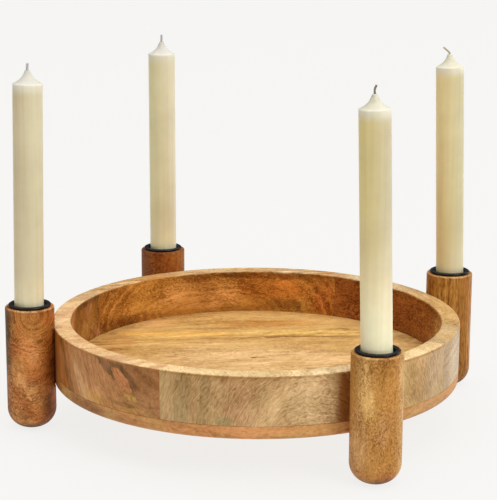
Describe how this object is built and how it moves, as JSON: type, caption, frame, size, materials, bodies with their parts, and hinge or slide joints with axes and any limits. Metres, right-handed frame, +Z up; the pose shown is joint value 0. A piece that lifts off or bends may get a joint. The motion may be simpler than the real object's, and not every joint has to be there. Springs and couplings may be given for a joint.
{
  "type": "wooden advent wreath",
  "caption": "Round wooden tray carried between upright posts with domed feet, each with a black metal cup and an ivory stick candle, as an advent wreath for a table.",
  "frame": {"origin": "on the table surface, under the middle of the whole footprint; the tray's axis stands 6 mm towards +X of it, because the posts are not evenly spaced", "axes": "+Z up; +X to the right and -Y towards the viewer as in the picture; +X is the widest direction"},
  "size_m": [0.3658, 0.347, 0.2773],
  "materials": {
    "board_wood": "pale golden straight-grained hardwood, oiled satin",
    "rim_wood": "warm brown figured hardwood, oiled satin",
    "post_wood": "dark brown figured hardwood, oiled satin",
    "dowel_wood": "plain pale hardwood",
    "cup_metal": "blackened metal with a soft shine",
    "candle_wax": "ivory candle wax, smooth and slightly translucent",
    "wick_cotton": "grey waxed cotton braid"
  },
  "bodies": {
    "root": {"floor_board_back": "board_wood", "floor_board_middle": "board_wood", "floor_board_front": "board_wood", "rim_back": "rim_wood", "rim_left": "rim_wood", "rim_front": "rim_wood", "rim_right": "rim_wood", "post_back_right": "post_wood", "cup_back_right": "cup_metal", "candle_back_right": "candle_wax", "wick_back_right": "wick_cotton", "dowel_lower_back_right": "dowel_wood", "dowel_upper_back_right": "dowel_wood", "post_back_left": "post_wood", "cup_back_left": "cup_metal", "candle_back_left": "candle_wax", "wick_back_left": "wick_cotton", "dowel_lower_back_left": "dowel_wood", "dowel_upper_back_left": "dowel_wood", "post_front_left": "post_wood", "cup_front_left": "cup_metal", "candle_front_left": "candle_wax", "wick_front_left": "wick_cotton", "dowel_lower_front_left": "dowel_wood", "dowel_upper_front_left": "dowel_wood", "post_front_right": "post_wood", "cup_front_right": "cup_metal", "candle_front_right": "candle_wax", "wick_front_right": "wick_cotton", "dowel_lower_front_right": "dowel_wood", "dowel_upper_front_right": "dowel_wood"}
  },
  "joints": []
}
